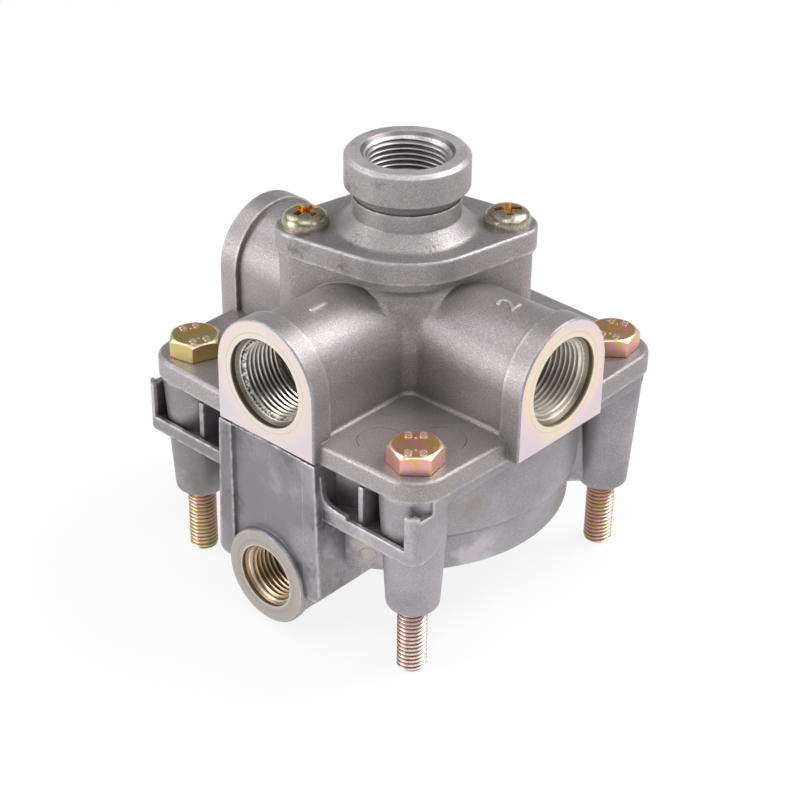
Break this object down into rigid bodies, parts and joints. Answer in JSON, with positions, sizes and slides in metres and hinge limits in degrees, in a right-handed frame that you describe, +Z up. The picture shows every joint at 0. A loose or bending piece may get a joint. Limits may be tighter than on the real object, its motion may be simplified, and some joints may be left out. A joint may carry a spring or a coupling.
{
  "type": "load-sensing relay valve",
  "caption": "Relay valve with die-cast body, threaded ports on three sides and on a two-screw top cover, and a control port on the piston housing, held by through-bolts as studs.",
  "frame": {"origin": "middle of the square of the four mounting studs, on the mounting face under the corner bosses of the housing", "axes": "+Z up along the exhaust port, -Y out of the supply and control ports, +X and -X out of the delivery ports"},
  "size_m": [0.1084, 0.1053, 0.122],
  "materials": {
    "upper_casting": "blasted die casting",
    "cover_casting": "blasted die casting",
    "lower_casting": "smooth die casting",
    "yellow_zinc": "yellow passivated zinc",
    "screw_zinc": "olive passivated zinc",
    "piston_alloy": "machined",
    "guide_alloy": "machined",
    "stem_brass": "turned",
    "cup_steel": "pressed sheet",
    "spring_steel": "oiled wire",
    "rubber": "matte",
    "guide_plastic": "matte"
  },
  "bodies": {
    "housing": {"body_casting": "upper_casting", "top_cover": "cover_casting", "control_housing": "lower_casting", "mounting_bolts": "yellow_zinc", "cover_screws": "screw_zinc", "piston_spring": "spring_steel", "valve_spring": "spring_steel", "valve_guide": "guide_alloy", "guide_seal": "rubber", "stem_seal": "rubber", "cover_seal": "rubber", "housing_seal": "rubber"},
    "piston": {"relay_piston": "piston_alloy", "piston_seal": "rubber", "piston_guide_ring": "guide_plastic"},
    "valve": {"valve_stem": "stem_brass", "valve_disc": "rubber", "disc_cup": "cup_steel"}
  },
  "joints": [
    {"name": "piston_slide", "type": "slide", "parent": "housing", "child": "piston", "axis": [0, 0, 1], "range_m": [0, 0.005], "stiffness_N_per_m": 1500, "springref_m": -0.004, "deforming": ["piston_spring"]},
    {"name": "valve_slide", "type": "slide", "parent": "housing", "child": "valve", "axis": [0, 0, 1], "range_m": [0, 0.0035], "stiffness_N_per_m": 1500, "springref_m": -0.003, "deforming": ["valve_spring"]}
  ],
  "couplings": [
    {"joint": "valve_slide", "follows": "piston_slide", "ratio": 0.7}
  ]
}
